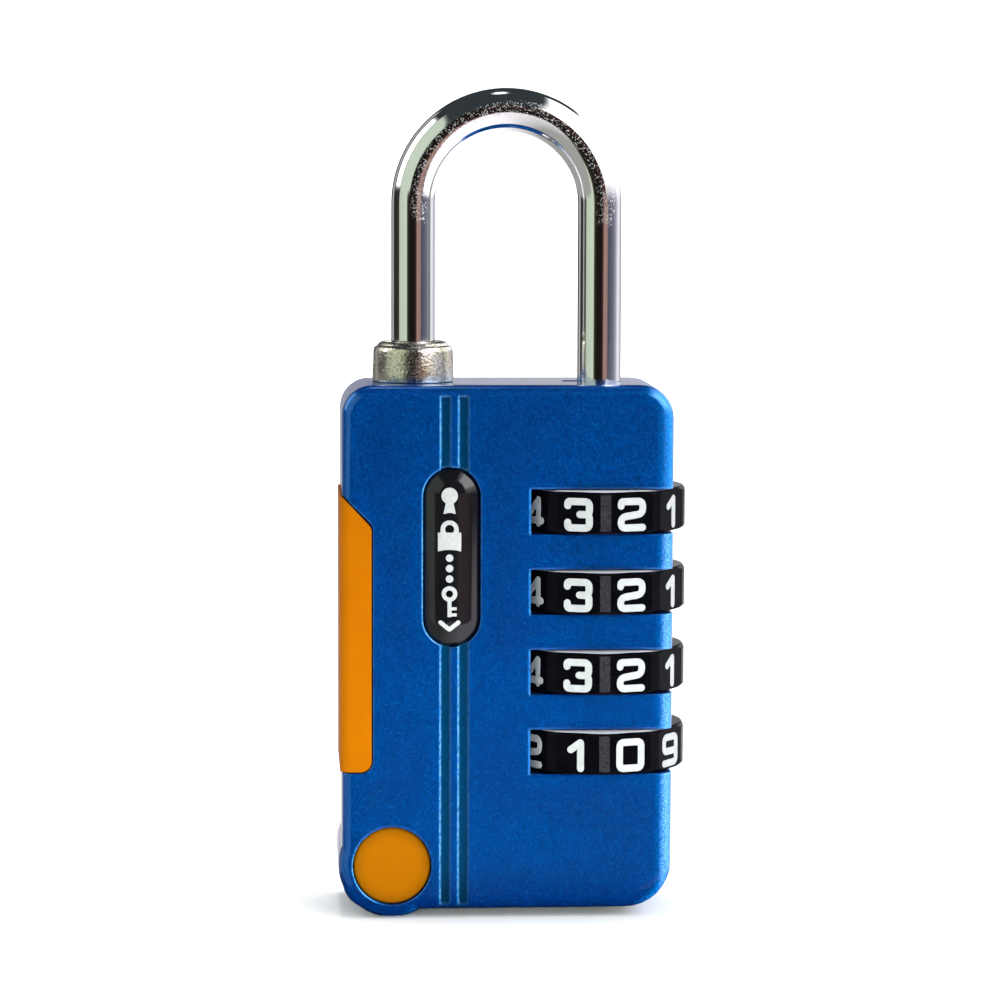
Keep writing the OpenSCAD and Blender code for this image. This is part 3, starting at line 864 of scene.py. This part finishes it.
# (turn, negative to the left; colour)
AROUND = [
    (-180, (0.42, 0.42, 0.47)), (-165, (0.50, 0.50, 0.54)), (-160, (0.05, 0.05, 0.05)),
    (-146, (0.05, 0.05, 0.05)), (-140, (0.50, 0.50, 0.50)), (-128, (0.50, 0.50, 0.50)),
    (-122, (0.03, 0.03, 0.03)), (-82, (0.03, 0.03, 0.03)), (-77, (0.58, 0.68, 0.53)),
    (-36, GREEN), (-32, (0.06, 0.052, 0.03)), (-20, DARK), (6, DARK), (15, (0.07, 0.035, 0.032)),
    (19, (0.42, 0.26, 0.22)), (37, (0.34, 0.22, 0.20)), (43, (0.08, 0.08, 0.12)), (72, (0.16, 0.165, 0.22)),
    (92, (0.40, 0.41, 0.50)), (108, (1.0, 1.0, 1.05)), (124, (0.90, 0.90, 0.96)),
    (142, (0.40, 0.41, 0.48)), (158, (0.40, 0.41, 0.48)),
    (170, (0.42, 0.42, 0.47)), (180, (0.42, 0.42, 0.47)),
]
# (turn from, to; clock from, to; colour; softness of the clock edges)
CARDS = [
    (14, 32, 3, 90, (0.04, 0.02, 0.02), 1.2),
    (32, 152, 8, 64, (1.9, 1.9, 1.95), 7.5),
    (32, 84, 19, 55, (5.0, 5.0, 5.0), 3.0),
    (152, 179, 2, 64, (0.7, 0.7, 0.72), 3.5),
    (23, 77, 124, 174, GREEN, 1.2),
    (82, 116, 129, 171, (2.2, 2.2, 2.2), 1.2),
    (26, 165, 65, 124, ROOF, 1.2),
    (122, 165, 46, 70, ROOF, 1.2),
    (93, 106, 88, 93, (4.0, 4.0, 4.0), 1.2),
]
CARD_SOFT = 1.2  # softness of the turn edges
# The table: its colours to the left and to the right, and the angles below the horizon where it fades in.
TABLE_LEFT, TABLE_RIGHT, TABLE_FROM, TABLE_TO = (0.40, 0.40, 0.38), (1.6, 1.52, 1.62), -7.5, -4.5
# The dark shape on the camera's side of the table: the turn it reaches in the middle, how much further it
# reaches at the sides, the power that bends its outline, and how steeply it ends.
SHADE_TURN, SHADE_SIDE, SHADE_POWER, SHADE_SLOPE = 12, 34, 2.4, 0.4

# Area lights in metres: (name; place; target; width and height; watts; tint).
LIGHTS = [
    ("key_left", (-0.34, -0.40, 0.14), (0, 0, 0.03), (0.30, 0.42), 0.08, (0.97, 1.0, 0.96)),
    ("low_fill", (0.0, -0.06, 0.013), (0, 0, 0.010), (0.10, 0.003), 0.042, (0.94, 1.0, 0.95)),
    ("overhead", (0.0, 0.15, 1.4), (0, 0.15, 0.0), (2.0, 2.0), 9.0, (1, 1, 1)),
    ("zenith", (0.0, 0.14, 1.2), (0, 0.0, 0.0), (0.25, 0.25), 5.5, (1, 1, 1)),
    ("back_wash", (0.0, 0.9, 1.1), (0, 1.6, 0.4), (1.2, 0.8), 12.0, (1, 1, 1)),
]

# The camera, fitted to the photograph's outline: places and lens in mm, angles in radians.
LOOK_AT, CAMERA_FAR = (-0.391, 0, 36.855), 328.81
CAMERA_TURN, CAMERA_RISE, CAMERA_ROLL = -0.061, 0.097, 0.003
CAMERA_LENS, CAMERA_SENSOR = 128.84, 36.0


def backdrop():
    """A pale sweep: a flat floor that curves up far behind the lock. Glossy parts don't reflect it."""
    bm = bmesh.new()
    half, front, back, bend, top = 3.0, -1.2, 0.8, 1.0, 2.2
    line = [(front, 0.0), (back, 0.0)]
    for k in range(1, 17):
        a = math.pi / 2 * k / 16
        line.append((back + bend * math.sin(a), bend - bend * math.cos(a)))
    line.append((back + bend, top))
    left, right = [[bm.verts.new((x, y, z)) for y, z in line] for x in (-half, half)]
    for i in range(len(line) - 1):
        bm.faces.new((left[i], right[i], right[i + 1], left[i + 1]))
    ob = new_object("studio_floor", bm, pale_floor())
    ob.data.polygons.foreach_set("use_smooth", [True] * len(ob.data.polygons))
    ob.visible_glossy = False


def contact_shade():
    """A painted shadow for the glossy parts next to the floor: a near-black sheet, seen only in
    reflections, that stands for the lock's shadow right under and round it.
    """
    bm = bmesh.new()
    deep, wide, lift = 30.0, 52.0, 0.1
    bm.faces.new([bm.verts.new((p.x * MM, p.y * MM, lift * MM)) for p in stadium_ring(deep, wide)])
    bmesh.ops.transform(bm, matrix=Matrix.Rotation(math.pi / 2, 4, "Z"), verts=bm.verts)
    ob = new_object("contact_shade", bm, painted_contact_shadow())
    for seen in ("camera", "diffuse", "shadow", "transmission", "volume_scatter"):
        setattr(ob, "visible_" + seen, False)


def area_light(name, place, target, size, watts, tint):
    """A soft lamp that lights the lock but is seen neither by the camera nor in reflections."""
    data = bpy.data.lights.new(name, "AREA")
    data.shape = "RECTANGLE"
    data.size, data.size_y = size
    data.energy = watts
    data.color = tint
    ob = bpy.data.objects.new(name, data)
    bpy.context.scene.collection.objects.link(ob)
    ob.location = place
    ob.rotation_mode = "QUATERNION"
    ob.rotation_quaternion = (Vector(target) - Vector(place)).to_track_quat("-Z", "Y")
    ob.visible_glossy = False
    ob.visible_camera = False


def world():
    """Plain studio surroundings for the reflections: a pale table, pale cards, a dark room and a lamp."""
    studio = bpy.data.worlds.new("studio")
    bpy.context.scene.world = studio
    studio.use_nodes = True
    n = Nodes(studio.node_tree)
    out = n.node("ShaderNodeOutputWorld")
    background = n.node("ShaderNodeBackground")
    n.link(background.outputs[0], out.inputs[0])
    x, y, z = n.split(n.node("ShaderNodeTexCoord").outputs["Generated"])
    degrees = 180 / math.pi

    def times(a, b):
        return n.maths("MULTIPLY", a, b)

    def limit(value):
        return n.maths("MINIMUM", n.maths("MAXIMUM", value, 0.0), 1.0)

    def window(value, lo, hi, soft):
        """1 where an angle lies between lo and hi, with soft ends."""
        stops = [(lo - soft, 0), (lo + soft, 1), (hi - soft, 1), (hi + soft, 0)]
        return n.grey(n.line(value, 1 / 400), *[(0.5 + angle / 400, v) for angle, v in stops])

    turn = times(n.maths("ARCCOSINE", times(y, -1.0)), degrees)
    clock = times(n.maths("ARCTAN2", z, x), degrees)
    signed = times(turn, n.maths("SIGN", x))
    color = n.ramp(n.line(signed, 1 / 360), *[(angle / 360 + 0.5, tone) for angle, tone in AROUND])
    for turn_from, turn_to, clock_from, clock_to, tone, soft in CARDS:
        card = times(window(turn, turn_from, turn_to, CARD_SOFT), window(clock, clock_from, clock_to, soft))
        color = n.mix(card, color, tone)
    # the table, but for the dark shape of the camera's side
    level = times(n.maths("ARCSINE", z), degrees)
    down = window(level, -95, (TABLE_FROM + TABLE_TO) / 2, (TABLE_TO - TABLE_FROM) / 2)
    flat = n.maths("SQRT", n.maths("ADD", times(x, x), times(z, z)))
    side = n.maths("DIVIDE", n.maths("ABSOLUTE", x), n.maths("MAXIMUM", flat, 0.001))
    edge = n.line(n.maths("POWER", side, SHADE_POWER), SHADE_SIDE, SHADE_TURN)
    clear = limit(times(n.maths("SUBTRACT", turn, edge), SHADE_SLOPE))
    table = n.mix(limit(n.line(x, 1.5)), TABLE_LEFT, TABLE_RIGHT)
    n.link(n.mix(times(down, clear), color, table), background.inputs["Color"])
    background.inputs["Strength"].default_value = 1.0


def camera():
    back = Vector((math.sin(CAMERA_TURN) * math.cos(CAMERA_RISE),
                   -math.cos(CAMERA_TURN) * math.cos(CAMERA_RISE),
                   math.sin(CAMERA_RISE)))
    data = bpy.data.cameras.new("camera")
    data.sensor_width = CAMERA_SENSOR
    data.lens = CAMERA_LENS
    data.clip_start, data.clip_end = 0.01, 20
    ob = bpy.data.objects.new("camera", data)
    bpy.context.scene.collection.objects.link(ob)
    ob.location = at(*(Vector(LOOK_AT) + back * CAMERA_FAR))
    ob.rotation_mode = "QUATERNION"
    aim = (-back).to_track_quat("-Z", "Y")
    ob.rotation_quaternion = aim @ Matrix.Rotation(CAMERA_ROLL, 3, "Z").to_quaternion()
    bpy.context.scene.camera = ob


# ---------------------------------------------------------------- the scene

shackle()
collar()
corner_disc()
badge()
badge_marks()
for dial in DIALS:
    digits(dial)

give_materials()
camera()
world()
backdrop()
contact_shade()
for light in LIGHTS:
    area_light(*light)

for dial in DIALS:
    refine("dial_%d" % dial, 0.05, 12)
    refine("cam_%d" % dial, 0.04)
refine("case")
refine("side_strip")
refine("bottom_plug", 0.05)
refine("retaining_clip", 0.04)
refine("spring_seat", 0.03)

bpy.context.scene.view_settings.view_transform = "Standard"
